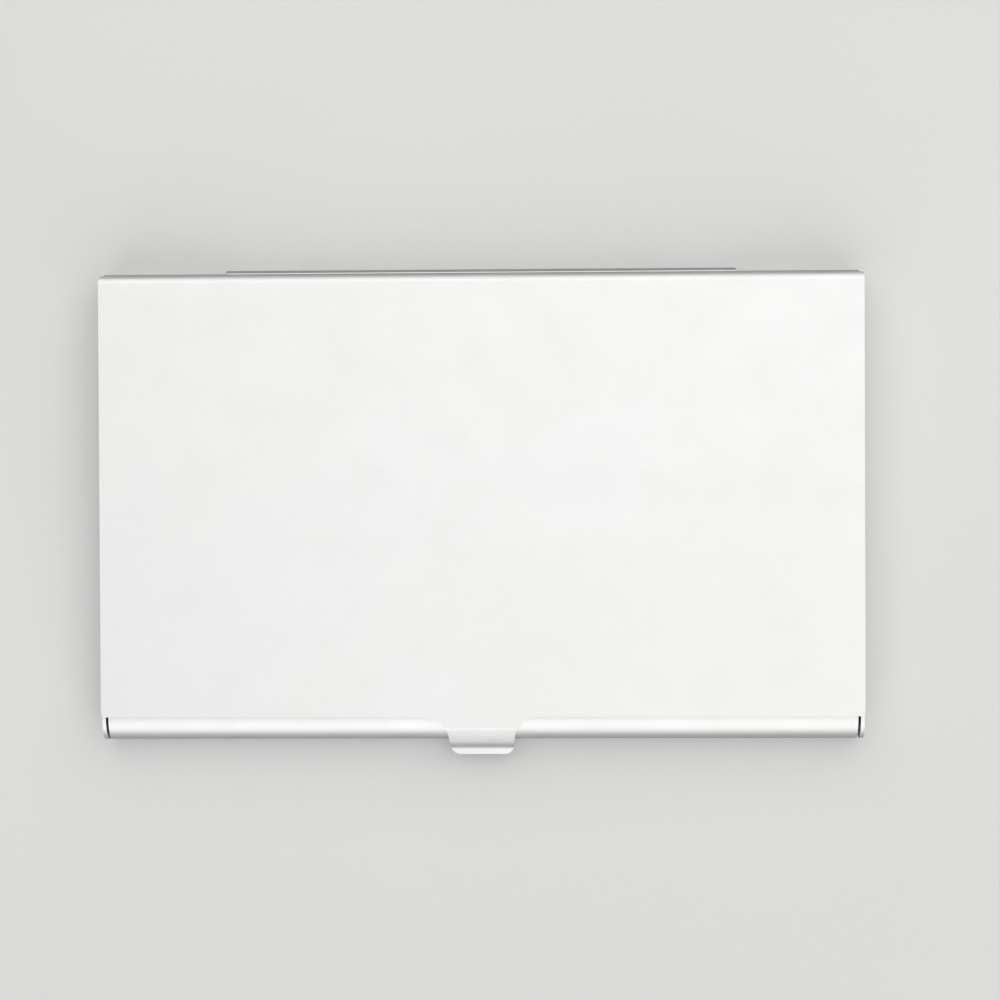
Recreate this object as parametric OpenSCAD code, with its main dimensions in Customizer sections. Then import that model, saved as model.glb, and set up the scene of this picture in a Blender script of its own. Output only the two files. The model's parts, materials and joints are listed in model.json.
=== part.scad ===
// Business card case: a pressed aluminium tray and a hinged lid with a thumb tab.
// X is the width, -Y the front, +Z up. The origin is the centre of the underside.

/* [Case] */
// Width over the side walls
case_w = 93; // [91:0.5:100]
// Depth from the front of the rolled edge to the back of the lid
case_d = 57; // [55:0.5:62]
// Height from the underside to the top of the lid
case_h = 6.5; // [6.3:0.1:8]
// Thickness of the aluminium sheet
sheet = 0.5; // [0.4:0.05:0.55]
// Gap between the lid and the tray where they pass each other
gap = 0.05; // [0.03:0.01:0.06]

/* [Tray] */
// Outer radius of the bends along the floor
bend_r = 0.8; // [0.7:0.1:1]
// Slit between the rolled front edge and each side wall
slit = 0.3; // [0.2:0.05:0.5]
// Length of the flat lip behind the rolled front edge
lip_len = 2.5; // [1.5:0.5:5]
// Length of the middle stretch of the rear wall
rear_wall_w = 62.4; // [56:0.2:70]
// Distance of the rear wall's top edge below the top of the lid
rear_wall_drop = 2.35; // [2.35:0.05:2.6]
// Distance of the corner tabs' top edges below the top of the lid
corner_tab_drop = 3; // [3:0.1:4]
// Distance of each corner tab's free end from the middle
corner_tab_end = 29; // [28.5:0.5:30]

/* [Lid] */
// Outer radius of the bend along the back of the lid
lid_bend_r = 1; // [0.8:0.1:1]
// How far the lid's rear flange reaches down from the top of the lid
flange_drop = 2.3; // [2:0.05:2.3]
// Corner radius at the front of the lid
front_corner_r = 1; // [0.5:0.1:2]
// Corner radius at the back of the lid
rear_corner_r = 0.5; // [0.3:0.1:0.5]

/* [Thumb tab] */
// Width of the tab where it comes off its two fillets
tab_w = 8; // [7:0.5:14]
// Radius of the fillets between the tab and the lid's front edge
tab_fillet_r = 3; // [2:0.5:4]
// Gap between the tab and the rolled front edge
tab_gap = 0.35; // [0.25:0.05:0.6]
// How far the tab's foot flares out beyond its upright part
flare = 1.15; // [1:0.05:1.6]
// Outer radius of the tab's turn down over the rolled edge
tab_turn_r = 3.2; // [2.8:0.1:3.2]

/* [Hinge] */
// Distance of the hinge axis ahead of the lid's rear face
hinge_inset = 1.45; // [1.4:0.05:1.45]
// Distance of the hinge axis below the top of the lid
hinge_drop = 1.5; // [1.45:0.05:1.55]
// Diameter of the hinge pins
pin_d = 1; // [0.8:0.1:1]
// How far the lid swings open, in degrees
open_angle = 110; // [95:5:110]

/* [Leaf spring] */
// Length of the spring along the rear wall
spring_w = 56; // [50:1:56]
// Thickness of the spring
spring_t = 0.3; // [0.2:0.05:0.3]
// Distance of each spring rivet from the middle
rivet_x = 20; // [12:1:24]
// Diameter of the spring rivets
rivet_d = 1.2; // [1:0.1:1.4]

/* [Hidden] */
$fn = 64;
lap = 1;                                  // overlap that ties joined shapes into one solid
tray_h = case_h - sheet - gap;
roll_r = tray_h / 2;
roll_y = -case_d / 2 + roll_r;            // centre of the roll, and the floor's front edge
wall_x = case_w / 2 - sheet;              // inner face of a side wall
rear_y = case_d / 2 + gap;                // inner face of the rear wall
lid_z = case_h - sheet;                   // underside of the lid's plate
lid_front_y = roll_y;
rear_wall_h = case_h - rear_wall_drop;
corner_tab_h = case_h - corner_tab_drop;
flange_foot = case_h - flange_drop;
pivot_y = case_d / 2 - hinge_inset;
pivot_z = case_h - hinge_drop;
hub_r = hinge_drop - sheet - gap;         // side wall's round end about the hinge axis
swing_r = norm([hinge_inset - lid_bend_r, hinge_drop - lid_bend_r]) + lid_bend_r + gap;
ear_gap = 0.1;                            // between a hinge ear and its side wall
ear_x = wall_x - ear_gap;                 // outer face of a hinge ear
pin_clearance = 0.05;
pin_head_r = 0.8;
pin_head_t = 0.35;
pin_sink_r = 0.7;
sink_depth = 0.3;
rim_r = 0.35;                             // soft outer edge on top of the rear wall
spring_foot = 0.9;
spring_head = 3.3;
rivet_z = (spring_foot + spring_head) / 2;
rivet_head_r = 1;
tab_upright_y = -case_d / 2 - tab_gap - sheet;
tab_turn_z = case_h - tab_turn_r;
tab_upright_len = 0.4;
flare_r = 0.6;
tab_end_y = tab_upright_y - flare;
tab_foot_w = tab_w - 0.3;
tab_corner_r = 1.1;

// Stretches a side profile, drawn as (y, z), from x1 to x2
module from_side(x1, x2) {
    translate([x1, 0, 0]) rotate([90, 0, 90]) linear_extrude(x2 - x1) children();
}

// Stretches a front profile, drawn as (x, z), from y1 back to y2
module from_front(y1, y2) {
    translate([0, y2, 0]) rotate([90, 0, 0]) linear_extrude(y2 - y1) children();
}

// A rectangle between two corners
module box2(low, high) {
    translate(low) square(high - low);
}

// A strip of sheet bent through a quarter turn, from straight down round to straight back
module quarter_ring(outer_r, inner_r) {
    intersection() {
        difference() {
            circle(outer_r);
            circle(inner_r);
        }
        square(outer_r);
    }
}

// A rectangle w wide, standing on z = 0, with its two lower corners rounded
module round_footed(w, h, r) {
    box2([-w / 2, r], [w / 2, h]);
    box2([-w / 2 + r, 0], [w / 2 - r, h]);
    for (s = [-1, 1]) translate([s * (w / 2 - r), r]) circle(r);
}

// A plan outline, (x, y), with round corners of r1 at the front and r2 at the back
module round_plan(w, y1, y2, r1, r2) {
    box2([-w / 2, y1 + r1], [w / 2, y2 - r2]);
    box2([-w / 2 + r1, y1], [w / 2 - r1, y1 + r1 + r2]);
    box2([-w / 2 + r2, y2 - r1 - r2], [w / 2 - r2, y2]);
    for (s = [-1, 1]) {
        translate([s * (w / 2 - r1), y1 + r1]) circle(r1);
        translate([s * (w / 2 - r2), y2 - r2]) circle(r2);
    }
}

// Side view of a side wall: round in front like the roll, round about the hinge axis
// behind, and cut back below it along the line where the open lid comes to rest
module side_outline() {
    difference() {
        union() {
            translate([roll_y, roll_r]) circle(roll_r);
            box2([roll_y, 0], [rear_y, tray_h]);
        }
        translate([pivot_y, pivot_z]) difference() {
            union() {
                circle(swing_r);
                box2([0, corner_tab_h - pivot_z], [5, 5]);
            }
            circle(hub_r);
            box2([-5, -5], [0, 5]);
            rotate(90 - open_angle) box2([-5, -5], [hub_r, 0]);
        }
    }
}

module floor_and_sides() {
    difference() {
        intersection() {
            from_front(-case_d, case_d) difference() {
                round_footed(case_w, tray_h, bend_r);
                translate([0, sheet]) round_footed(2 * wall_x, case_h, bend_r - sheet);
            }
            from_side(-case_w, case_w) side_outline();
            linear_extrude(case_h) round_plan(case_w, -case_d, rear_y, bend_r, bend_r);
        }
        translate([-wall_x, -case_d, -lap]) cube([2 * wall_x, case_d + roll_y, case_h]);
    }
}

// The front edge, rolled up and back over itself and ending in a flat lip
module rolled_front() {
    roll_end = wall_x - slit;
    from_side(-roll_end, roll_end) {
        translate([roll_y, roll_r]) difference() {
            circle(roll_r);
            circle(roll_r - sheet);
            box2([0, -case_h], [case_h, case_h]);
        }
        box2([roll_y, 0], [roll_y + lap, sheet]);
        box2([roll_y, tray_h - sheet], [roll_y + lip_len, tray_h]);
    }
}

module rear_wall() {
    outer_y = rear_y + sheet;
    from_side(-rear_wall_w / 2, rear_wall_w / 2) {
        box2([rear_y - 3 * lap, 0], [outer_y - bend_r, sheet]);
        translate([outer_y - bend_r, bend_r]) mirror([0, 1]) quarter_ring(bend_r, bend_r - sheet);
        box2([rear_y, bend_r], [outer_y, rear_wall_h - rim_r]);
        box2([rear_y, bend_r], [outer_y - rim_r, rear_wall_h]);
        translate([outer_y - rim_r, rear_wall_h - rim_r]) circle(rim_r);
    }
}

// A tab folded in from the end of a side wall to close the rear corner
module corner_tab() {
    plan_r = bend_r;
    intersection() {
        translate([corner_tab_end, rear_y - sheet, sheet / 2])
            cube([case_w / 2 - corner_tab_end, sheet, corner_tab_h - sheet / 2]);
        linear_extrude(case_h) round_plan(case_w, -case_d, rear_y, plan_r, plan_r);
    }
}

module hinge_axis(side, x, depth, r1, r2) {
    translate([side * x, pivot_y, pivot_z]) rotate([0, -side * 90, 0]) cylinder(depth, r1, r2);
}

module rivet_axis(side, y, depth, r1, r2) {
    translate([side * rivet_x, y, rivet_z]) rotate([90, 0, 0]) cylinder(depth, r1, r2);
}

module hinge_pin(side) {
    color("gainsboro") {
        hinge_axis(side, case_w / 2, sink_depth, pin_sink_r, pin_d / 2);
        hinge_axis(side, case_w / 2, 2 * sheet + ear_gap + gap, pin_d / 2, pin_d / 2);
        hinge_axis(side, ear_x - sheet - gap, pin_head_t, pin_head_r, pin_head_r);
    }
}

module spring_rivet(side) {
    outer_y = rear_y + sheet;
    color("lightgray") {
        rivet_axis(side, outer_y, sink_depth, rivet_d / 2 + sink_depth, rivet_d / 2);
        rivet_axis(side, outer_y, sheet + spring_t, rivet_d / 2, rivet_d / 2);
        rivet_axis(side, rear_y - spring_t, sink_depth, rivet_head_r, rivet_head_r);
    }
}

module tray() {
    color("silver") difference() {
        union() {
            floor_and_sides();
            rolled_front();
            rear_wall();
            corner_tab();
            mirror([1, 0, 0]) corner_tab();
        }
        for (side = [-1, 1]) {
            hinge_axis(side, case_w / 2 + lap, 3 * lap, pin_d / 2, pin_d / 2);
            hinge_axis(side, case_w / 2, sink_depth, pin_sink_r, pin_d / 2);
            rivet_axis(side, rear_y + 2 * sheet, 3 * sheet, rivet_d / 2, rivet_d / 2);
            rivet_axis(side, rear_y + sheet, sink_depth, rivet_d / 2 + sink_depth, rivet_d / 2);
        }
    }
}

// Side view of the lid's plate with its rear bend and flange
module lid_section() {
    bend_y = case_d / 2 - lid_bend_r;
    box2([lid_front_y, lid_z], [bend_y, case_h]);
    translate([bend_y, case_h - lid_bend_r]) quarter_ring(lid_bend_r, lid_bend_r - sheet);
    box2([case_d / 2 - sheet, flange_foot], [case_d / 2, case_h - lid_bend_r]);
}

// The flange's end, folded forward along the side wall to carry the hinge pin
module hinge_ear() {
    ear_r = hub_r - gap;
    intersection() {
        from_side(ear_x - sheet, ear_x) {
            translate([pivot_y, pivot_z]) circle(ear_r);
            box2([pivot_y, flange_foot], [case_d / 2 - sheet / 2, pivot_z + ear_r]);
        }
        linear_extrude(case_h)
            round_plan(2 * ear_x, -case_d / 2, case_d / 2, rear_corner_r, rear_corner_r);
    }
}

// Plan outline of the thumb tab, from inside the lid's front edge to its foot
module tab_outline() {
    fillet_x = tab_w / 2 + tab_fillet_r;
    fillet_y = lid_front_y - tab_fillet_r;
    foot_y = tab_end_y + tab_corner_r;
    difference() {
        box2([-fillet_x, fillet_y], [fillet_x, lid_front_y + lap]);
        for (s = [-1, 1]) translate([s * fillet_x, fillet_y]) circle(tab_fillet_r);
    }
    polygon([[-tab_w / 2, fillet_y], [tab_w / 2, fillet_y],
             [tab_foot_w / 2, foot_y], [-tab_foot_w / 2, foot_y]]);
    box2([-tab_foot_w / 2 + tab_corner_r, tab_end_y], [tab_foot_w / 2 - tab_corner_r, foot_y]);
    for (s = [-1, 1]) translate([s * (tab_foot_w / 2 - tab_corner_r), foot_y]) circle(tab_corner_r);
}

// Side view of the thumb tab: over the roll, straight down and out into the flare
module tab_section() {
    turn_y = tab_upright_y + tab_turn_r;
    foot_z = tab_turn_z - tab_upright_len;
    box2([turn_y, lid_z], [lid_front_y + lap, case_h]);
    translate([turn_y, tab_turn_z]) mirror([1, 0]) quarter_ring(tab_turn_r, tab_turn_r - sheet);
    box2([tab_upright_y, foot_z], [tab_upright_y + sheet, tab_turn_z]);
    translate([tab_upright_y - flare_r, foot_z]) mirror([0, 1]) quarter_ring(flare_r + sheet, flare_r);
    box2([tab_end_y, foot_z - flare_r - sheet], [tab_upright_y - flare_r, foot_z - flare_r]);
}

module lid() {
    margin = case_w / 2;
    color("gainsboro") difference() {
        union() {
            intersection() {
                from_side(-margin, margin) lid_section();
                linear_extrude(2 * case_h) union() {
                    round_plan(case_w, lid_front_y, case_d / 2, front_corner_r, rear_corner_r);
                }
                union() {
                    translate([-margin, -case_d, lid_z]) cube([case_w, 2 * case_d, case_h]);
                    linear_extrude(case_h)
                        round_plan(2 * ear_x, -case_d, case_d / 2, rear_corner_r, rear_corner_r);
                }
            }
            hinge_ear();
            mirror([1, 0, 0]) hinge_ear();
            intersection() {
                from_side(-tab_w - tab_fillet_r, tab_w + tab_fillet_r) tab_section();
                linear_extrude(case_h) tab_outline();
            }
        }
        for (side = [-1, 1])
            hinge_axis(side, case_w / 2, 3 * lap, pin_d / 2 + pin_clearance, pin_d / 2 + pin_clearance);
    }
}

module leaf_spring() {
    color("slategray") difference() {
        translate([-spring_w / 2, rear_y - spring_t, spring_foot])
            cube([spring_w, spring_t, spring_head - spring_foot]);
        for (side = [-1, 1])
            rivet_axis(side, rear_y + sheet, 3 * sheet, rivet_d / 2, rivet_d / 2);
    }
}

module hinge_pin_left() { hinge_pin(-1); }
module hinge_pin_right() { hinge_pin(1); }
module spring_rivet_left() { spring_rivet(-1); }
module spring_rivet_right() { spring_rivet(1); }

tray();
lid();
hinge_pin_left();
hinge_pin_right();
leaf_spring();
spring_rivet_left();
spring_rivet_right();
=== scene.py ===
import json
import math

import bmesh
import bpy
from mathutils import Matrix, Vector


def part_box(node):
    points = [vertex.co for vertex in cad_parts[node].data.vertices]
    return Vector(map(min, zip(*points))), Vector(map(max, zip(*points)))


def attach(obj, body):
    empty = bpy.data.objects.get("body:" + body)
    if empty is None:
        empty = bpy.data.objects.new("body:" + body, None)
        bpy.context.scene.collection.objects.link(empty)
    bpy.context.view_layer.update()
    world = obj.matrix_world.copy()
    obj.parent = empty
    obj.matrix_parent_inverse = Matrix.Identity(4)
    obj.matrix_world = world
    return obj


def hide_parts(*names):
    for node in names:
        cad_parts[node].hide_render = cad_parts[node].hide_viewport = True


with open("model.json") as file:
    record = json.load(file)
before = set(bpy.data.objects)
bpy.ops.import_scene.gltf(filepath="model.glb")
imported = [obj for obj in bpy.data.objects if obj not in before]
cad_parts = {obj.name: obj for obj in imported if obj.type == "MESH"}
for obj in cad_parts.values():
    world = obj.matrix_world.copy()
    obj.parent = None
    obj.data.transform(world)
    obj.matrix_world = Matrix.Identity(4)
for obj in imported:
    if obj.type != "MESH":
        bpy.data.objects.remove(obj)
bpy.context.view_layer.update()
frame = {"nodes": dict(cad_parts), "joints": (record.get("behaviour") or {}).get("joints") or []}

mm = 0.001
near = 0.01 * mm                       # two places closer than this are the same place
sheet = 0.5 * mm                       # the aluminium that the tray and the lid are pressed from

trayLow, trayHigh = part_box("tray")
lidLow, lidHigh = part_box("lid")
springLow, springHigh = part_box("leaf_spring")
rivetLow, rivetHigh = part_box("spring_rivet_right")
rivetPlace = (rivetLow + rivetHigh) / 2
hinge = Vector(frame["joints"][0]["pos_m"])
openAngle = math.radians(frame["joints"][0]["range_deg"][1])
print("frame loaded:", sorted(frame["nodes"]))


# small tools for working in edit mode

def deselectAll():
    bpy.ops.object.select_all(action="DESELECT")


def work(obj):
    if bpy.context.mode != "OBJECT":
        bpy.ops.object.mode_set(mode="OBJECT")
    deselectAll()
    obj.select_set(True)
    bpy.context.view_layer.objects.active = obj


def edit(obj):
    work(obj)
    bpy.ops.object.mode_set(mode="EDIT")


def leave():
    bpy.ops.object.mode_set(mode="OBJECT")


def pick(kind, test):
    # selects the vertices, edges or faces whose middle passes the test
    bpy.ops.mesh.select_mode(type=kind)
    bpy.ops.mesh.select_all(action="DESELECT")
    mesh = bmesh.from_edit_mesh(bpy.context.edit_object.data)
    chosen = False
    for part in {"VERT": mesh.verts, "EDGE": mesh.edges, "FACE": mesh.faces}[kind]:
        if kind == "VERT":
            middle = part.co
        elif kind == "EDGE":
            middle = (part.verts[0].co + part.verts[1].co) / 2
        else:
            middle = part.calc_center_median()
        if test(middle, part):
            part.select_set(True)
            chosen = True
    mesh.select_flush_mode()
    bmesh.update_edit_mesh(bpy.context.edit_object.data)
    if not chosen:
        raise ValueError("nothing was picked on " + bpy.context.edit_object.name)


def at(a, b):
    return abs(a - b) < near


def along(edge, axis):
    step = edge.verts[1].co - edge.verts[0].co
    return abs(step[axis]) > 0.99 * step.length


def pull(x=0, y=0, z=0):
    bpy.ops.mesh.extrude_region_move(TRANSFORM_OT_translate={"value": (x, y, z)})


def shift(x=0, y=0, z=0):
    bpy.ops.transform.translate(value=(x, y, z))


def stretch(x=1, y=1, z=1, centre=(0, 0, 0)):
    bpy.ops.transform.resize(value=(x, y, z), center_override=centre)


def sweepRound(angle, steps, centre, axis):
    # spin turns against the right hand, so the angle is given the other way
    bpy.ops.mesh.spin(steps=steps, dupli=False, angle=-angle, center=centre, axis=axis)


def slice(place, normal, test=lambda p, f: True):
    pick("FACE", test)
    bpy.ops.mesh.bisect(plane_co=place, plane_no=normal)


def roundOff(width, segments, kind="EDGES"):
    bpy.ops.mesh.bevel(offset=width, segments=segments, affect=kind, clamp_overlap=True)


def mergeAndFace(outward=None):
    # joins doubled vertices and turns the faces outwards. On an open skin, outward is a test for a
    # face and the way it should look
    bpy.ops.mesh.select_mode(type="VERT")
    bpy.ops.mesh.select_all(action="SELECT")
    bpy.ops.mesh.remove_doubles(threshold=near / 4)
    bpy.ops.mesh.normals_make_consistent(inside=False)
    if outward:
        test, way = outward
        mesh = bmesh.from_edit_mesh(bpy.context.edit_object.data)
        face = next(f for f in mesh.faces if test(f.calc_center_median()))
        if face.normal.dot(Vector(way)) < 0:
            bpy.ops.mesh.flip_normals()


def plate(name, low, high):
    # a flat rectangle between two corners that share one coordinate, facing up or back
    size = high - low
    bpy.ops.mesh.primitive_plane_add(size=1, location=(0, 0, 0))
    obj = bpy.context.object
    obj.name = name
    edit(obj)
    if size.y < near:
        bpy.ops.transform.rotate(value=math.pi / 2, orient_axis="X", center_override=(0, 0, 0))
        stretch(size.x, 1, size.z)
    else:
        stretch(size.x, size.y, 1)
    shift(*((low + high) / 2))
    return obj


def block(name, low, high):
    size = high - low
    bpy.ops.mesh.primitive_cube_add(size=1, location=(0, 0, 0))
    obj = bpy.context.object
    obj.name = name
    edit(obj)
    stretch(*size)
    shift(*((low + high) / 2))
    leave()
    return obj


def rod(name, start, end, radius, endRadius=None, sides=48):
    # a round bar between two points
    step = end - start
    turn = step.to_track_quat("Z", "Y").to_euler()
    bpy.ops.mesh.primitive_cone_add(vertices=sides, radius1=radius, radius2=endRadius or radius,
                                    depth=step.length, location=(start + end) / 2, rotation=turn)
    obj = bpy.context.object
    obj.name = name
    bpy.ops.object.transform_apply(location=True, rotation=True, scale=True)
    return obj


def combine(target, tool, operation):
    work(target)
    cut = target.modifiers.new("cut", "BOOLEAN")
    cut.operation = operation
    cut.solver = "EXACT"
    cut.object = tool
    bpy.ops.object.modifier_apply(modifier=cut.name)
    bpy.data.objects.remove(tool)


def addModifier(obj, kind, **settings):
    work(obj)
    modifier = obj.modifiers.new(kind.lower(), kind)
    for key, value in settings.items():
        setattr(modifier, key, value)
    bpy.ops.object.modifier_apply(modifier=modifier.name)


def tidyFlats(obj):
    edit(obj)
    mergeAndFace()
    bpy.ops.mesh.dissolve_limited(angle_limit=math.radians(0.3), use_dissolve_boundaries=False)
    leave()


def softenEdges(obj, width, segments=3, angle=35):
    # the rounding takes the second material, so that worn edges can be brighter than the faces
    addModifier(obj, "BEVEL", width=width, segments=segments, limit_method="ANGLE",
                angle_limit=math.radians(angle), harden_normals=False, use_clamp_overlap=True,
                miter_outer="MITER_ARC", material=len(obj.data.materials) - 1)
    work(obj)
    bpy.ops.object.shade_smooth_by_angle(angle=math.radians(32))
    # wide flats keep their own normals beside a rounded edge
    addModifier(obj, "WEIGHTED_NORMAL", weight=100, keep_sharp=True)


class Wiring:
    # puts nodes into one material and joins them up

    def __init__(self, name):
        self.material = bpy.data.materials.new(name)
        self.material.use_nodes = True
        self.nodes = self.material.node_tree.nodes
        self.shader = self.nodes["Principled BSDF"]
        self.coordinates = self.add("ShaderNodeTexCoord").outputs["Object"]

    def add(self, kind, **settings):
        node = self.nodes.new(kind)
        for key, value in settings.items():
            setattr(node, key, value)
        return node

    def join(self, start, end):
        self.material.node_tree.links.new(start, end)

    def fill(self, socket, value):
        if isinstance(value, bpy.types.NodeSocket):
            self.join(value, socket)
        else:
            socket.default_value = value

    def place(self, scale=(1, 1, 1), location=(0, 0, 0)):
        node = self.add("ShaderNodeMapping")
        node.inputs["Scale"].default_value = scale
        node.inputs["Location"].default_value = location
        self.join(self.coordinates, node.inputs["Vector"])
        return node.outputs["Vector"]

    def noise(self, scale, detail=2, roughness=0.5, stretched=(1, 1, 1), seed=0):
        node = self.add("ShaderNodeTexNoise")
        node.inputs["Scale"].default_value = scale
        node.inputs["Detail"].default_value = detail
        node.inputs["Roughness"].default_value = roughness
        self.join(self.place(stretched, (seed, seed, seed)), node.inputs["Vector"])
        return node.outputs["Fac"]

    def math(self, kind, a, b=0.0):
        node = self.add("ShaderNodeMath", operation=kind)
        self.fill(node.inputs[0], a)
        self.fill(node.inputs[1], b)
        return node.outputs[0]

    def spread(self, value, low, high, newLow=0.0, newHigh=1.0, smooth=True):
        node = self.add("ShaderNodeMapRange")
        node.interpolation_type = "SMOOTHSTEP" if smooth else "LINEAR"
        for key, number in (("From Min", low), ("From Max", high), ("To Min", newLow), ("To Max", newHigh)):
            node.inputs[key].default_value = number
        self.join(value, node.inputs["Value"])
        return node.outputs["Result"]

    def blend(self, share, a, b):
        node = self.add("ShaderNodeMix", data_type="RGBA")
        self.fill(node.inputs["Factor"], share)
        self.fill(node.inputs[6], a)
        self.fill(node.inputs[7], b)
        return node.outputs[2]

    def bump(self, height, distance, strength=1.0, under=None):
        node = self.add("ShaderNodeBump")
        node.inputs["Strength"].default_value = strength
        node.inputs["Distance"].default_value = distance
        self.join(height, node.inputs["Height"])
        if under:
            self.join(under, node.inputs["Normal"])
        return node.outputs["Normal"]

    def finish(self, colour, roughness, normal, metal=1.0):
        self.shader.inputs["Metallic"].default_value = metal
        self.join(colour, self.shader.inputs["Base Color"])
        self.join(roughness, self.shader.inputs["Roughness"])
        self.join(normal, self.shader.inputs["Normal"])
        return self.material


aluminium = {
    "bright": (0.935, 0.935, 0.935, 1),
    "dull": (0.885, 0.885, 0.88, 1),
    "warm": (0.925, 0.915, 0.90, 1),
    "cloudScale": 38,                  # broad drift in tone, per metre
    "warmAmount": 0.55,
    "handlingScale": 150,              # where fingers have dulled the finish
    "handlingAmount": 0.28,
    "grainScale": 5200,                # the blasted grain
    "grainAmount": 0.34,
    "rollingScale": 700,               # rolling lines left in the sheet
    "roughness": (0.46, 0.56),
    "grainDepth": 0.004 * mm,
    "waviness": 0.012 * mm,
}

# the lid is blasted coarser than the tray, and scatters more
lidAluminium = dict(aluminium, roughness=(0.50, 0.60))

edgeWear = {
    "bright": (0.96, 0.96, 0.96, 1),
    "dull": (0.86, 0.86, 0.86, 1),
    "roughness": (0.26, 0.42),
    "nickScale": 900,
    "nickDepth": 0.01 * mm,
}

turned = {
    "bright": (0.90, 0.90, 0.905, 1),
    "dull": (0.76, 0.76, 0.77, 1),
    "ringSpacing": 0.11 * mm,
    "ringDepth": 0.0015 * mm,
    "wobble": 0.05 * mm,
    "wobbleScale": 2600,
    "scuffScale": 1500,
    "scuffDepth": 0.004 * mm,
    "roughness": (0.24, 0.40),
}

steel = {
    "bright": (0.66, 0.67, 0.69, 1),
    "dull": (0.47, 0.48, 0.50, 1),
    "scuffed": (0.40, 0.39, 0.37, 1),
    "scuffScale": 420,
    "roughness": (0.20, 0.36),
    "lineScale": 900,
    "lineDepth": 0.003 * mm,
}


def blastedAluminium(name, s):
    # fine blasted sheet under clear anodising: near white, satin, with a grain too fine to feel
    w = Wiring(name)
    cloud = w.noise(s["cloudScale"], 2, 0.5)
    handling = w.noise(s["handlingScale"], 4, 0.62, seed=3.1)
    grain = w.noise(s["grainScale"], 2, 0.6, seed=7.7)
    speck = w.noise(s["grainScale"] * 0.36, 3, 0.7, seed=1.3)
    # the rolling lines run the length of the case and barely show
    rolled = w.noise(s["rollingScale"], 3, 0.6, stretched=(0.035, 1, 1), seed=5.2)
    warmth = w.spread(cloud, 0.42, 0.66, 0, s["warmAmount"])
    colour = w.blend(warmth, s["bright"], s["warm"])
    dullness = w.math("MULTIPLY", w.spread(handling, 0.40, 0.80), s["handlingAmount"])
    colour = w.blend(dullness, colour, s["dull"])
    colour = w.blend(w.spread(grain, 0.35, 0.68, 0, s["grainAmount"]), colour, s["dull"])
    low, high = s["roughness"]
    tone = w.math("ADD", w.math("MULTIPLY", handling, 0.45), w.math("MULTIPLY", grain, 0.35))
    tone = w.math("ADD", tone, w.math("MULTIPLY", rolled, 0.2))
    roughness = w.spread(tone, 0.34, 0.66, low, high, smooth=False)
    normal = w.bump(cloud, s["waviness"])
    normal = w.bump(rolled, s["grainDepth"] * 0.5, under=normal)
    normal = w.bump(speck, s["grainDepth"], under=normal)
    normal = w.bump(grain, s["grainDepth"], under=normal)
    return w.finish(colour, roughness, normal)


def wornEdge(s):
    # the cut edges, tumbled smooth and rubbed brighter than the faces
    w = Wiring("worn_edge_aluminium")
    nick = w.noise(s["nickScale"], 4, 0.65, seed=2.4)
    fine = w.noise(s["nickScale"] * 6, 2, 0.6, seed=9.1)
    colour = w.blend(w.spread(nick, 0.44, 0.62), s["bright"], s["dull"])
    low, high = s["roughness"]
    roughness = w.spread(w.math("ADD", w.math("MULTIPLY", nick, 0.6), w.math("MULTIPLY", fine, 0.4)),
                         0.36, 0.64, low, high)
    normal = w.bump(nick, s["nickDepth"])
    normal = w.bump(fine, s["nickDepth"] * 0.4, under=normal)
    return w.finish(colour, roughness, normal)


def turnedAluminium(name, centre, axis, s):
    # rings left by turning, about the stud's own axis on either side of the case
    w = Wiring(name)
    split = w.add("ShaderNodeSeparateXYZ")
    w.join(w.coordinates, split.inputs["Vector"])
    a, b = ((1, 2), (0, 2))[axis]
    first = w.math("SUBTRACT", w.math("ABSOLUTE", split.outputs[a]), abs(centre[a]))
    second = w.math("SUBTRACT", split.outputs[b], centre[b])
    squares = w.math("ADD", w.math("MULTIPLY", first, first), w.math("MULTIPLY", second, second))
    radius = w.math("SQRT", squares)
    unevenness = w.noise(s["wobbleScale"], 2, 0.5)
    wobble = w.math("MULTIPLY", w.math("SUBTRACT", unevenness, 0.5), s["wobble"])
    turns = w.math("MULTIPLY", w.math("ADD", radius, wobble), 2 * math.pi / s["ringSpacing"])
    rings = w.math("SINE", turns)
    scuff = w.noise(s["scuffScale"], 3, 0.6, seed=4.4)
    colour = w.blend(w.spread(scuff, 0.4, 0.68), s["bright"], s["dull"])
    low, high = s["roughness"]
    roughness = w.spread(w.math("ADD", w.math("MULTIPLY", rings, 0.12), scuff), 0.3, 0.75, low, high)
    normal = w.bump(rings, s["ringDepth"])
    normal = w.bump(scuff, s["scuffDepth"], under=normal)
    return w.finish(colour, roughness, normal)


def rolledSteel(s):
    # spring strip with its rolling lines along the length
    w = Wiring("rolled_spring_steel")
    lines = w.noise(s["lineScale"], 4, 0.65, stretched=(0.02, 1, 5))
    scuff = w.noise(s["scuffScale"], 3, 0.6, seed=6.6)
    colour = w.blend(w.spread(lines, 0.34, 0.66), s["bright"], s["dull"])
    colour = w.blend(w.spread(scuff, 0.5, 0.72, 0, 0.3), colour, s["scuffed"])
    low, high = s["roughness"]
    roughness = w.spread(w.math("ADD", w.math("MULTIPLY", lines, 0.6), w.math("MULTIPLY", scuff, 0.4)),
                         0.36, 0.64, low, high)
    normal = w.bump(lines, s["lineDepth"])
    return w.finish(colour, roughness, normal)


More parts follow.
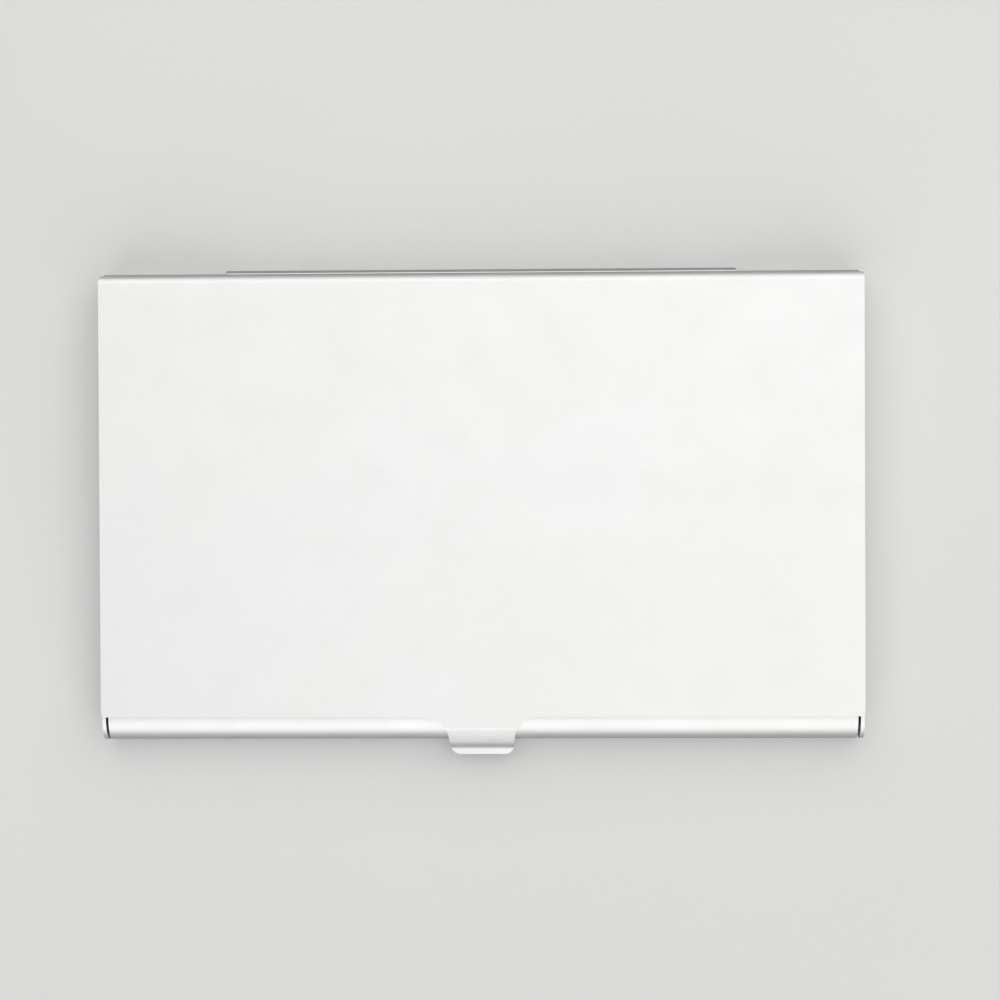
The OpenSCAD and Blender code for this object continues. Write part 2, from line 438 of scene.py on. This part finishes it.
def paleBoard(s):
    # pale to look at, but the metal mirrors it as a darker table, so that its edges stay crisp
    w = Wiring("pale_board")
    cloud = w.noise(s["cloudScale"], 3, 0.5)
    tooth = w.noise(s["toothScale"], 3, 0.6, seed=1.7)
    colour = w.blend(w.spread(cloud, 0.35, 0.65), s["light"], s["shade"])
    colour = w.blend(w.spread(tooth, 0.35, 0.65, 0, 0.25), colour, s["shade"])
    ray = w.add("ShaderNodeLightPath")
    colour = w.blend(ray.outputs["Is Glossy Ray"], colour, s["mirrored"])
    low, high = s["roughness"]
    roughness = w.spread(tooth, 0.3, 0.7, low, high)
    return w.finish(colour, roughness, w.bump(tooth, s["toothDepth"]), metal=0.0)


def addMaterials(obj, *materials):
    for material in materials:
        obj.data.materials.append(material)


blasted = blastedAluminium("blasted_aluminium", aluminium)
lidBlasted = blastedAluminium("lid_blasted_aluminium", lidAluminium)
worn = wornEdge(edgeWear)

deselectAll()

cameraSizes = {
    "place": Vector((11.9, 5.2, 311)) * mm,
    "turn": (-0.0145, 0.0312, -0.0047),
    "lens": 90.4,
}


def addCamera(sizes):
    bpy.ops.object.camera_add(location=sizes["place"], rotation=sizes["turn"])
    camera = bpy.context.object
    camera.name = "camera"
    camera.data.lens = sizes["lens"]
    camera.data.sensor_width = 36
    camera.data.clip_start = 0.01
    bpy.context.scene.camera = camera


addCamera(cameraSizes)
print("camera placed")


tray = {
    "bendRadius": 0.8 * mm,            # outer radius of the folds along the floor
    "bendSteps": 4,
    "rollSteps": 28,
    "foldSteps": 6,                    # round the folds up to the rear wall and its corner tabs
    "lip": 2.5 * mm,                   # flat end of the roll
    "rearWallWidth": 62.4 * mm,
    "rearWallHeight": 4.15 * mm,
    "rimDrop": 0.95 * mm,              # how far down the rear wall starts to lean in
    "rimLean": 0.36 * mm,
    "rimRadius": 0.10 * mm,
    "cornerTabHeight": 3.4 * mm,
    "cornerTabEnd": 29 * mm,
    "tabGap": 0.02 * mm,               # between a corner tab and the rear wall
    "hubRadius": 0.95 * mm,            # round end of the side wall about the hinge
    "slopeReach": 0.60 * mm,           # from the hinge to the slope that the open lid rests near
    "notchRadius": 1.7227 * mm,        # clears the lid's bend as it swings
    "pinRadius": 0.52 * mm,
    "pinSinkRadius": 0.72 * mm,
    "rivetRadius": 0.62 * mm,
    "rivetSinkRadius": 0.92 * mm,
    "sinkDepth": 0.3 * mm,
    "edge": 0.06 * mm,
}


def notchCutter(side, s):
    # the space behind and under the hinge that the lid's margin sweeps through
    reach = 4 * mm                     # well past the sheet on every side
    far = reach + mm
    x1, x2 = sorted((side * (trayHigh.x + mm), side * (trayHigh.x - reach)))
    start = Vector((x1, hinge.y, hinge.z))
    end = Vector((x2, hinge.y, hinge.z))
    past = Vector((mm, 0, 0))
    sweep = rod("sweep", start, end, s["notchRadius"])
    behind = block("behind", Vector((x1, hinge.y, s["cornerTabHeight"])), end + Vector((0, reach, reach)))
    combine(sweep, behind, "UNION")
    front = block("front", start - past - Vector((0, far, 0)), end + past + Vector((0, 0, far)))
    combine(sweep, front, "DIFFERENCE")
    hub = rod("hub", start - past, end + past, s["hubRadius"])
    combine(sweep, hub, "DIFFERENCE")
    slope = block("slope", start - past - Vector((0, far, far)), end + past + Vector((0, s["slopeReach"], 0)))
    edit(slope)
    bpy.ops.mesh.select_all(action="SELECT")
    tilt = openAngle - math.pi / 2
    bpy.ops.transform.rotate(value=tilt, orient_axis="X", center_override=hinge)
    leave()
    combine(sweep, slope, "DIFFERENCE")
    return sweep


def frontCutter(side, s, rollY, rollRadius):
    # rounds the free front end of a side wall to the roll's own curve, and clears the floor's fold there
    innerX = trayHigh.x - s["bendRadius"] + 2 * near
    x1, x2 = sorted((side * (trayHigh.x + mm), side * innerX))
    corner = block("corner", Vector((x1, trayLow.y - mm, -mm)), Vector((x2, rollY, trayHigh.z + mm)))
    keep = rod("keep", Vector((x1 - mm, rollY, rollRadius)), Vector((x2 + mm, rollY, rollRadius)),
               rollRadius, sides=96)
    combine(corner, keep, "DIFFERENCE")
    return corner


def drill(target, s, side):
    # the sunk hole for a hinge pin and the sunk hole for a spring rivet
    wall = Vector((side * trayHigh.x, hinge.y, hinge.z))
    inward = Vector((-side, 0, 0))
    forward = Vector((0, -1, 0))
    back = Vector((rivetPlace.x * side, trayHigh.y, rivetPlace.z))
    sink = s["sinkDepth"]
    for place, way, radius, sunk in ((wall, inward, s["pinRadius"], s["pinSinkRadius"]),
                                     (back, forward, s["rivetRadius"], s["rivetSinkRadius"])):
        combine(target, rod("hole", place - way * mm, place + way * 2 * mm, radius, sides=32), "DIFFERENCE")
        growth = (sunk - radius) / sink
        combine(target, rod("sink", place - way * sink, place + way * sink, sunk + growth * sink,
                            radius, sides=32), "DIFFERENCE")


def makeTray(s):
    rollRadius = (trayHigh.z - trayLow.z) / 2
    rollY = trayLow.y + rollRadius
    fold = s["bendRadius"]
    rearY = trayHigh.y - sheet - s["tabGap"]
    wallEnd = rearY - fold
    halfWidth = trayHigh.x
    flatX = halfWidth - fold
    rearWallX = s["rearWallWidth"] / 2
    bendY = trayHigh.y - fold

    # floor and side walls, with rounded folds between them
    body = plate("tray_shell", Vector((-halfWidth, trayLow.y, 0)), Vector((halfWidth, rearY, 0)))
    pick("EDGE", lambda p, e: at(abs(p.x), halfWidth))
    pull(z=trayHigh.z)
    pick("EDGE", lambda p, e: at(abs(p.x), halfWidth) and at(p.z, 0) and along(e, 1))
    roundOff(fold, s["bendSteps"])

    # the floor stops where the roll starts, and the side walls run on to the front
    slice((0, rollY, 0), (0, 1, 0))
    pick("FACE", lambda p, f: p.y < rollY and abs(p.x) < halfWidth - sheet)
    bpy.ops.mesh.delete(type="FACE")

    # the side walls stop short of the rear, where their tabs fold in, but run on above to carry the
    # hinge, and the floor has a gap where the rear wall folds up
    tabTop = s["cornerTabHeight"]
    stepZ = (tabTop + hinge.z) / 2
    hubEnd = hinge.y + s["hubRadius"] + 10 * near     # the notch cutter trims it to the hub
    slice((0, 0, stepZ), (0, 0, 1))
    slice((0, wallEnd, 0), (0, 1, 0), lambda p, f: abs(p.x) > flatX and p.z < stepZ)
    slice((0, hubEnd, 0), (0, 1, 0), lambda p, f: abs(p.x) > flatX and p.z > stepZ)
    pick("FACE", lambda p, f: abs(p.x) > flatX and p.y > (wallEnd if p.z < stepZ else hubEnd))
    bpy.ops.mesh.delete(type="FACE")
    for place, normal in (((0, bendY, 0), (0, 1, 0)), ((-rearWallX, 0, 0), (1, 0, 0)),
                          ((rearWallX, 0, 0), (1, 0, 0))):
        slice(place, normal, lambda p, f: at(p.z, 0) and p.y > rollY)
    pick("FACE", lambda p, f: p.y > bendY and abs(p.x) < rearWallX)
    bpy.ops.mesh.delete(type="FACE")
    mergeAndFace((lambda p: at(p.z, 0), (0, 0, -1)))
    leave()

    # the skin gets the sheet's thickness, then its ends are cut to shape
    addModifier(body, "SOLIDIFY", thickness=sheet, offset=-1, use_even_offset=True)
    for side in (-1, 1):
        combine(body, frontCutter(side, s, rollY, rollRadius), "DIFFERENCE")
        combine(body, notchCutter(side, s), "DIFFERENCE")

    # front edge rolled up and back over itself, ending in a flat lip, and the rear wall folded up
    edit(body)
    pick("FACE", lambda p, f: at(p.y, rollY) and abs(p.x) < flatX and p.z < sheet)
    sweepRound(-math.pi, s["rollSteps"], (0, rollY, rollRadius), (1, 0, 0))
    pull(y=s["lip"])
    pick("FACE", lambda p, f: at(p.y, bendY) and abs(p.x) < mm and p.z < sheet)
    sweepRound(math.pi / 2, s["foldSteps"], (0, bendY, fold), (1, 0, 0))
    pull(z=s["rearWallHeight"] - fold)
    for side in (-1, 1):
        pick("FACE", lambda p, f: at(p.y, wallEnd) and p.x * side > flatX and fold < p.z < tabTop)
        sweepRound(side * math.pi / 2, s["foldSteps"], (side * flatX, wallEnd, 0), (0, 0, 1))
        pull(x=-side * (flatX - s["cornerTabEnd"]))
    mergeAndFace()
    leave()
    for side in (-1, 1):
        drill(body, s, side)
    tidyFlats(body)

    # the rear wall leans in towards its rim
    edit(body)
    top = s["rearWallHeight"]
    slice((0, 0, top - s["rimDrop"]), (0, 0, 1), lambda p, f: at(p.y, trayHigh.y))
    pick("EDGE", lambda p, e: at(p.z, top) and at(p.y, trayHigh.y))
    shift(y=-s["rimLean"])
    roundOff(s["rimRadius"], 4)
    leave()
    addMaterials(body, blasted, worn)
    softenEdges(body, s["edge"])
    return body


trayShell = makeTray(tray)
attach(trayShell, "case")
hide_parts("tray")
print("tray pressed:", len(trayShell.data.polygons), "faces")


lid = {
    "bendRadius": 1.2 * mm,            # outer radius of the bend along the back
    "bendSteps": 15,
    "marginEnd": 54,                   # angle round the bend where the margins stop, in degrees
    "margin": 0.6 * mm,                # stretch at each side that lies over a side wall
    "flangeFoot": 4.2 * mm,
    "frontCorner": 1.0 * mm,
    "rearCorner": 0.4 * mm,
    "earRadius": 0.9 * mm,             # round end of a hinge ear
    "earFold": 0.5 * mm,
    "pinHole": 0.55 * mm,
    "tabHalfWidth": 4.0 * mm,
    "tabFootHalfWidth": 3.85 * mm,
    "tabFillet": 3.0 * mm,
    "tabBend": 0.7 * mm,               # outer radius of the first bend, on to the ramp
    "tabRamp": (33, 43),               # slope where the ramp starts and ends, in degrees
    "tabRampLength": 1.5 * mm,
    "tabTurn": 2.5 * mm,               # outer radius of the turn down over the roll
    "tabFlare": 0.7 * mm,              # outer radius of the turn out into the lip
    "tabLip": 1.02 * mm,               # how far the lip stands out beyond the upright
    "tabLipSlope": 28,
    "tabCorner": 1.1 * mm,
    "edge": 0.07 * mm,
}


def tabStations(s, frontY):
    # (y, z, half width) of the tab's outer face, from the lid's front edge to the tip of the lip
    tipY = lidLow.y
    uprightY = tipY + s["tabLip"]
    filletX = s["tabHalfWidth"] + s["tabFillet"]
    filletY = frontY - s["tabFillet"]
    cornerX = s["tabFootHalfWidth"] - s["tabCorner"]
    cornerY = tipY + s["tabCorner"]
    rampStart, rampEnd = (math.radians(slope) for slope in s["tabRamp"])
    rampRadius = s["tabRampLength"] / (math.sin(rampEnd) - math.sin(rampStart))
    turnReach = s["tabTurn"] * (1 - math.sin(rampEnd))
    bendY = uprightY + turnReach + s["tabRampLength"] + s["tabBend"] * math.sin(rampStart)

    def halfWidth(y):
        if y >= filletY:
            return filletX - math.sqrt(max(0, s["tabFillet"] ** 2 - (y - filletY) ** 2))
        if y >= cornerY:
            share = (filletY - y) / (filletY - cornerY)
            return s["tabHalfWidth"] + share * (s["tabFootHalfWidth"] - s["tabHalfWidth"])
        return cornerX + math.sqrt(max(0, s["tabCorner"] ** 2 - (cornerY - y) ** 2))

    places = []
    for step in range(1, 8):
        places.append((frontY + (bendY - frontY) * step / 7, lidHigh.z))

    def arc(radius, start, end, steps):
        # goes on from the last place while the slope changes from start to end
        y, z = places[-1]
        for step in range(1, steps + 1):
            slope = start + (end - start) * step / steps
            places.append((y - radius * abs(math.sin(slope) - math.sin(start)),
                           z - radius * abs(math.cos(slope) - math.cos(start))))

    upright = math.pi / 2
    lipSlope = math.radians(s["tabLipSlope"])
    arc(s["tabBend"], 0, rampStart, 5)
    arc(rampRadius, rampStart, rampEnd, 5)
    arc(s["tabTurn"], rampEnd, upright, 9)
    arc(s["tabFlare"], upright, lipSlope, 8)
    flatY, flatZ = places[-1]
    for step in range(1, 8):
        share = math.sin(math.radians(90 * step / 7))
        reach = (flatY - tipY) * share
        places.append((flatY - reach, flatZ - reach * math.tan(lipSlope)))
    return [(y, z, halfWidth(y)) for y, z in places], filletX


def makeLid(s):
    frontY = trayLow.y + (trayHigh.z - trayLow.z) / 2
    top = lidHigh.z
    halfWidth = lidHigh.x
    rearY = lidHigh.y
    bend = s["bendRadius"]
    bendY = rearY - bend
    earX = halfWidth - s["margin"]
    stations, filletX = tabStations(s, frontY)

    body = plate("lid_shell", Vector((-halfWidth, frontY, top)), Vector((halfWidth, bendY, top)))
    for x in (-earX, -filletX, filletX, earX):
        slice((x, 0, 0), (1, 0, 0))

    # thumb tab: the middle of the front edge drawn out, narrowed and turned down over the roll
    pick("EDGE", lambda p, e: at(p.y, frontY) and abs(p.x) < filletX - near)
    y, z, width = frontY, top, filletX
    for nextY, nextZ, nextWidth in stations:
        pull(y=nextY - y, z=nextZ - z)
        stretch(x=nextWidth / width, centre=(0, nextY, nextZ))
        y, z, width = nextY, nextZ, nextWidth

    # rear bend right across, then the flange between the two margins
    pick("EDGE", lambda p, e: at(p.y, bendY) and along(e, 0))
    sweepRound(-math.pi / 2, s["bendSteps"], (0, bendY, top - bend), (1, 0, 0))
    pick("FACE", lambda p, f: p.z < top - sheet - near and abs(p.x) > earX and p.y > bendY)
    bpy.ops.mesh.delete(type="FACE")
    pick("EDGE", lambda p, e: at(p.z, top - bend) and at(p.y, rearY))
    pull(z=s["flangeFoot"] - (top - bend))

    # the margins' rear corners are rounded, as seen from above
    radius = s["rearCorner"]
    roundY = bendY + bend * math.sin(math.radians(s["marginEnd"])) - radius
    rowStep = 90 // s["bendSteps"]
    for side in (-1, 1):
        for angle in range(s["marginEnd"] - 4 * rowStep, s["marginEnd"] + 1, rowStep):
            rowY = bendY + bend * math.sin(math.radians(angle))
            beyond = min(max(rowY - roundY, 0), 0.97 * radius)
            pick("VERT", lambda p, v: at(p.x, side * halfWidth) and at(p.y, rowY))
            shift(x=-side * (radius - math.sqrt(radius ** 2 - beyond ** 2)))

    # hinge ears, folded forward from the flange's ends and rounded about the hinge
    for side in (-1, 1):
        pick("EDGE", lambda p, e: at(p.x, side * earX) and at(p.y, rearY) and p.z < top - bend)
        middle = hinge.z
        foldEndY = rearY - s["earFold"] - 5 * near    # just past the ear's rounded fold
        pull(y=foldEndY - rearY)
        pull(y=hinge.y - foldEndY)
        pick("VERT", lambda p, v: at(p.x, side * earX) and at(p.y, hinge.y) and p.z < top - near)
        low = s["flangeFoot"]
        high = top - bend
        stretch(z=2 * s["earRadius"] / (high - low), centre=(0, 0, (low + high) / 2))
        shift(z=middle - (low + high) / 2)
        reach = 0
        size = 1
        for step in range(1, 7):
            angle = math.radians(14.5 * step)
            pull(y=-(math.sin(angle) - reach) * s["earRadius"])
            stretch(z=math.cos(angle) / size, centre=(0, 0, middle))
            reach, size = math.sin(angle), math.cos(angle)
        pick("EDGE", lambda p, e: at(p.x, side * earX) and at(p.y, rearY) and along(e, 2)
             and p.z < top - bend)
        roundOff(s["earFold"], 4)

    pick("VERT", lambda p, v: at(abs(p.x), halfWidth) and at(p.y, frontY))
    roundOff(s["frontCorner"], 10, "VERTICES")
    mergeAndFace((lambda p: at(p.z, top), (0, 0, 1)))
    leave()
    addModifier(body, "SOLIDIFY", thickness=sheet, offset=-1, use_even_offset=True)
    hole = rod("hole", hinge - Vector((earX + mm, 0, 0)), hinge + Vector((earX + mm, 0, 0)), s["pinHole"])
    combine(body, hole, "DIFFERENCE")
    tidyFlats(body)
    addMaterials(body, lidBlasted, worn)
    softenEdges(body, s["edge"])
    return body


lidShell = makeLid(lid)
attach(lidShell, "lid")
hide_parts("lid")
print("lid pressed:", len(lidShell.data.polygons), "faces")


pin = {
    "radius": 0.5 * mm,
    "sinkRadius": 0.7 * mm,
    "headRadius": 0.8 * mm,
    "headThickness": 0.35 * mm,
    "sinkDepth": 0.3 * mm,
    "dimple": 0.03 * mm,
    "dimpleInset": 0.62,               # from the edge, as a share of the flush face's radius
    "edge": 0.05 * mm,
    "material": turnedAluminium("pin_turned_aluminium", hinge, 0, turned),
}

rivet = {
    "radius": 0.6 * mm,
    "sinkRadius": 0.9 * mm,
    "headRadius": 1.0 * mm,
    "headThickness": 0.3 * mm,
    "sinkDepth": 0.3 * mm,
    "dimple": 0.03 * mm,
    "dimpleInset": 0.62,               # from the edge, as a share of the flush face's radius
    "edge": 0.05 * mm,
    "material": turnedAluminium("rivet_turned_aluminium", rivetPlace, 1, turned),
}

spring = {
    "rivetRadius": 0.6 * mm,
    "corner": 0.5 * mm,
    "edge": 0.05 * mm,
    "material": rolledSteel(steel),
}


def makeStud(name, outer, inner, shank, sunk, head, headThickness, s):
    # a flush pin or rivet: sunk head outside, shank, round head inside
    way = (inner - outer).normalized()
    axis = 0 if abs(way.x) > 0.5 else 1
    neck = inner - way * headThickness
    rim = 0.55                         # share of the head's thickness below its rounded crown
    crown = ((0.93, 0.22), (0.72, 0.16), (0.4, 0.07))    # (narrowing, rise) of each ring

    def widen(factor, centre):
        across = [factor] * 3
        across[axis] = 1
        stretch(*across, centre=centre)

    body = rod(name, outer, neck, shank, sides=40)
    edit(body)
    slice(outer + way * s["sinkDepth"], way)
    pick("FACE", lambda p, f: at(p[axis], outer[axis]))
    widen(sunk / shank, outer)
    # a faint turned dimple in the middle of the flush face
    bpy.ops.mesh.inset(thickness=sunk * s["dimpleInset"])
    shift(*(way * s["dimple"]))
    pick("FACE", lambda p, f: at(p[axis], neck[axis]))
    pull()
    widen(head / shank, neck)
    pull(*(way * headThickness * rim))
    for narrowing, rise in crown:
        pull(*(way * headThickness * rise))
        widen(narrowing, inner)
    mergeAndFace()
    leave()
    addMaterials(body, s["material"], s["material"])
    softenEdges(body, s["edge"], 2)
    return body


def copyAcross(obj, name):
    # the same part again on the other side of the case
    work(obj)
    bpy.ops.object.duplicate(linked=False)
    twin = bpy.context.object
    twin.name = name
    edit(twin)
    bpy.ops.mesh.select_all(action="SELECT")
    stretch(x=-1)
    bpy.ops.mesh.normals_make_consistent(inside=False)
    leave()
    return twin


def makeSpring(s):
    body = plate("leaf_spring_strip", Vector((springLow.x, springHigh.y, springLow.z)),
                 Vector((springHigh.x, springHigh.y, springHigh.z)))
    pick("VERT", lambda p, v: True)
    roundOff(s["corner"], 6, "VERTICES")
    mergeAndFace((lambda p: True, (0, 1, 0)))
    leave()
    addModifier(body, "SOLIDIFY", thickness=springHigh.y - springLow.y, offset=-1)
    for side in (-1, 1):
        place = Vector((side * rivetPlace.x, springHigh.y, rivetPlace.z))
        hole = rod("hole", place - Vector((0, mm, 0)), place + Vector((0, mm, 0)), s["rivetRadius"] + near,
                   sides=32)
        combine(body, hole, "DIFFERENCE")
    addMaterials(body, s["material"], s["material"])
    softenEdges(body, s["edge"], 2)
    return body


def makePin(s):
    low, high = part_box("hinge_pin_right")
    outer = Vector((high.x, hinge.y, hinge.z))
    inner = Vector((low.x, hinge.y, hinge.z))
    return makeStud("pin_right", outer, inner, s["radius"], s["sinkRadius"], s["headRadius"],
                    s["headThickness"], s)


def makeRivet(s):
    outer = Vector((rivetPlace.x, rivetHigh.y, rivetPlace.z))
    inner = Vector((rivetPlace.x, rivetLow.y, rivetPlace.z))
    return makeStud("rivet_right", outer, inner, s["radius"], s["sinkRadius"], s["headRadius"],
                    s["headThickness"], s)


def fit(piece, node):
    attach(piece, "case")
    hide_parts(node)


pinRight = makePin(pin)
fit(pinRight, "hinge_pin_right")
fit(copyAcross(pinRight, "pin_left"), "hinge_pin_left")
rivetRight = makeRivet(rivet)
fit(rivetRight, "spring_rivet_right")
fit(copyAcross(rivetRight, "rivet_left"), "spring_rivet_left")
fit(makeSpring(spring), "leaf_spring")
print("pins, rivets and leaf spring made")


lights = {
    "overhead": {
        "place": (0.09, 0.45, 0.75),
        "size": (1.66, 1.30),
        "power": 8.25,
        "colour": (1.0, 0.995, 0.985),
    },
    "front": {
        "place": (0.05, -0.73, 0.61),
        "size": (1.6, 1.33),
        "power": 7.6,
        "colour": (1.0, 1.0, 1.0),
    },
}

room = {
    "colour": (0.98, 0.99, 1.0, 1),
    "strength": 0.12,
    "backdrop": (0.60, 0.60, 0.60, 1),
}

floor = {
    "size": 3.0,
    "light": (0.82, 0.82, 0.815, 1),
    "shade": (0.78, 0.78, 0.775, 1),
    "mirrored": (0.26, 0.26, 0.26, 1),
    "cloudScale": 6,
    "toothScale": 2400,
    "toothDepth": 0.01 * mm,
    "roughness": (0.72, 0.85),
}


def addSoftbox(name, s):
    # a rectangular softbox turned to face the case
    place = Vector(s["place"])
    turn = (-place).to_track_quat("-Z", "Y").to_euler()
    bpy.ops.object.light_add(type="AREA", location=place, rotation=turn)
    softbox = bpy.context.object
    softbox.name = name
    softbox.data.shape = "RECTANGLE"
    softbox.data.size, softbox.data.size_y = s["size"]
    softbox.data.energy = s["power"]
    softbox.data.color = s["colour"]


def addRoom(s):
    world = bpy.data.worlds.new("studio")
    world.use_nodes = True
    nodes = world.node_tree.nodes
    links = world.node_tree.links
    air = nodes["Background"]
    air.inputs["Color"].default_value = s["colour"]
    air.inputs["Strength"].default_value = s["strength"]
    # beyond the floor's edge a pale backdrop is seen, which lights nothing
    backdrop = nodes.new("ShaderNodeBackground")
    backdrop.inputs["Color"].default_value = s["backdrop"]
    seen = nodes.new("ShaderNodeLightPath")
    mix = nodes.new("ShaderNodeMixShader")
    links.new(seen.outputs["Is Camera Ray"], mix.inputs[0])
    links.new(air.outputs[0], mix.inputs[1])
    links.new(backdrop.outputs[0], mix.inputs[2])
    links.new(mix.outputs[0], nodes["World Output"].inputs["Surface"])
    bpy.context.scene.world = world
    bpy.context.scene.view_settings.view_transform = "Standard"


def addFloor(s):
    bpy.ops.mesh.primitive_plane_add(size=s["size"], location=(0, 0, 0))
    board = bpy.context.object
    board.name = "floor"
    addMaterials(board, paleBoard(s))


for name, softbox in lights.items():
    addSoftbox(name, softbox)
addRoom(room)
addFloor(floor)
print("lights and floor set")
